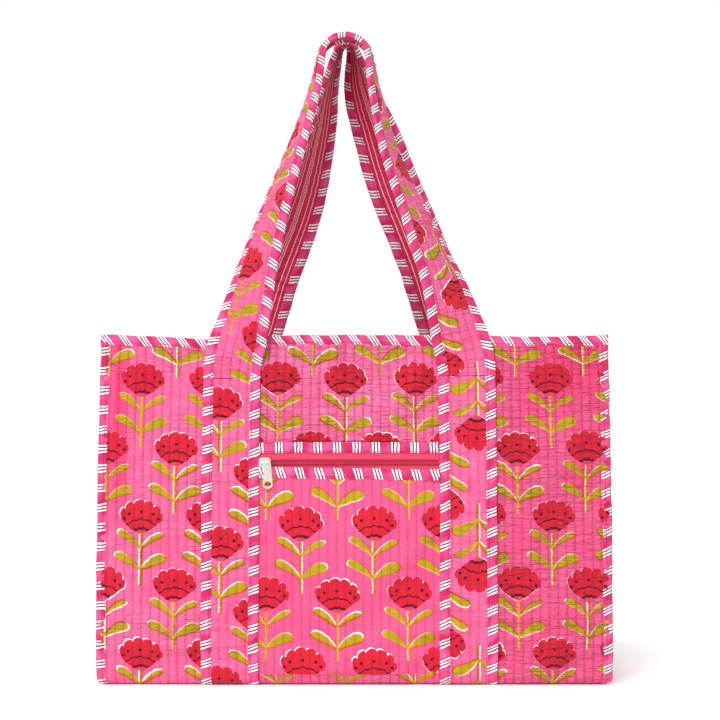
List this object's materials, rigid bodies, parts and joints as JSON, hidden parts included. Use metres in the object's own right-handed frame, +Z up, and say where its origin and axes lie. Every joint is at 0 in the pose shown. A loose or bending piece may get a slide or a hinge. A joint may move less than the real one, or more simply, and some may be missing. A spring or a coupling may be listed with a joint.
{
  "type": "quilted knitting tote bag",
  "caption": "Open-topped quilted cotton knitting bag with bound edges, a zipped front pocket and a pair of padded strap handles that swing down.",
  "frame": {"origin": "middle of the base, on the surface the bag stands on", "axes": "+Z up, -Y out of the front panel that carries the pocket, +X to the right as seen from the front"},
  "size_m": [0.45, 0.1737, 0.5692],
  "materials": {
    "printed_cotton": "matte block-printed cotton",
    "cotton_wadding": "soft undyed wadding",
    "striped_lining": "matte woven cotton with fine white stripes",
    "bias_binding": "matte striped cotton cut on the bias",
    "zip_tape": "woven tape",
    "nylon_coil": "satin nylon coil",
    "zip_metal": "nickel-plated die casting"
  },
  "bodies": {
    "bag": {"front_panel_face": "printed_cotton", "front_panel_wadding": "cotton_wadding", "front_panel_lining": "striped_lining", "back_panel_face": "printed_cotton", "back_panel_wadding": "cotton_wadding", "back_panel_lining": "striped_lining", "left_gusset_face": "printed_cotton", "left_gusset_wadding": "cotton_wadding", "left_gusset_lining": "striped_lining", "right_gusset_face": "printed_cotton", "right_gusset_wadding": "cotton_wadding", "right_gusset_lining": "striped_lining", "base_face": "printed_cotton", "base_wadding": "cotton_wadding", "base_lining": "striped_lining", "front_left_binding": "bias_binding", "front_right_binding": "bias_binding", "back_left_binding": "bias_binding", "back_right_binding": "bias_binding", "base_left_binding": "bias_binding", "base_right_binding": "bias_binding", "rim_binding": "bias_binding", "front_strap_legs_face": "printed_cotton", "front_strap_legs_wadding": "cotton_wadding", "front_strap_legs_lining": "striped_lining", "front_strap_legs_bindings": "bias_binding", "back_strap_legs_face": "printed_cotton", "back_strap_legs_wadding": "cotton_wadding", "back_strap_legs_lining": "striped_lining", "back_strap_legs_bindings": "bias_binding", "pocket_face": "printed_cotton", "pocket_wadding": "cotton_wadding", "pocket_lining": "striped_lining", "pocket_top_binding": "bias_binding", "zip_facing": "bias_binding", "zip_upper_tape": "zip_tape", "zip_lower_tape": "zip_tape", "zip_upper_coil": "nylon_coil", "zip_lower_coil": "nylon_coil"},
    "front_handle": {"front_handle_face": "printed_cotton", "front_handle_wadding": "cotton_wadding", "front_handle_lining": "striped_lining", "front_handle_inner_binding": "bias_binding", "front_handle_outer_binding": "bias_binding"},
    "back_handle": {"back_handle_face": "printed_cotton", "back_handle_wadding": "cotton_wadding", "back_handle_lining": "striped_lining", "back_handle_inner_binding": "bias_binding", "back_handle_outer_binding": "bias_binding"},
    "zip_slider": {"zip_slider": "zip_metal"},
    "zip_pull": {"zip_pull": "zip_metal"}
  },
  "joints": [
    {"name": "front_handle_swing", "type": "hinge", "parent": "bag", "child": "front_handle", "pos_m": [0, -0.0797, 0.27], "axis": [1, 0, 0], "range_deg": [0, 155]},
    {"name": "back_handle_swing", "type": "hinge", "parent": "bag", "child": "back_handle", "pos_m": [0, 0.0797, 0.27], "axis": [-1, 0, 0], "range_deg": [0, 155]},
    {"name": "zip_slide", "type": "slide", "parent": "bag", "child": "zip_slider", "axis": [1, 0, 0], "range_m": [0, 0.145]},
    {"name": "zip_pull_swing", "type": "hinge", "parent": "zip_slider", "child": "zip_pull", "pos_m": [-0.0753, -0.0817, 0.194], "axis": [0, -1, 0], "range_deg": [-35, 100]}
  ]
}
